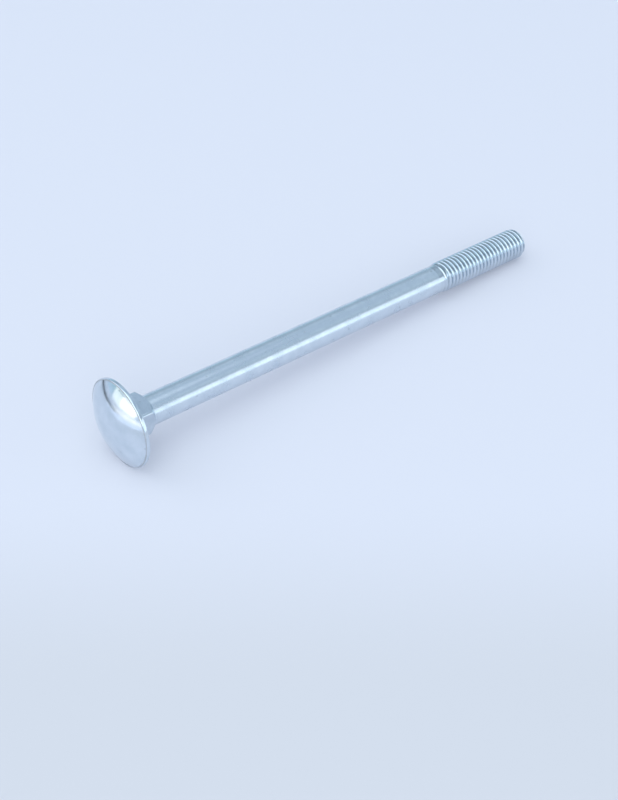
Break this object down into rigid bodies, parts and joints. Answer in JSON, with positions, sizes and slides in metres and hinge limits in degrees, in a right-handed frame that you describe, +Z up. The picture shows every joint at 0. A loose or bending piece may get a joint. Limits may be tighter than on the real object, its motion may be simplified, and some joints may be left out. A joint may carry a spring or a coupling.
{
  "type": "carriage bolt",
  "caption": "Carriage bolt lying at rest: shallow domed round head, square neck, long plain reduced shank and a threaded end with a chamfered point.",
  "frame": {"origin": "on the supporting surface, under the middle of the bolt's length as it lies", "axes": "+X from the head towards the point, +Z up; the bolt lies on the edge of its head and the end of its thread, so its own axis lies in the XZ plane and drops about 3.1 degrees towards the point"},
  "size_m": [0.1294, 0.0216, 0.0215],
  "materials": {
    "zinc_steel": "bright blue-white zinc plating on cold-forged steel, smooth with faint rolling marks"
  },
  "bodies": {
    "root": {"bolt": "zinc_steel"}
  },
  "joints": []
}
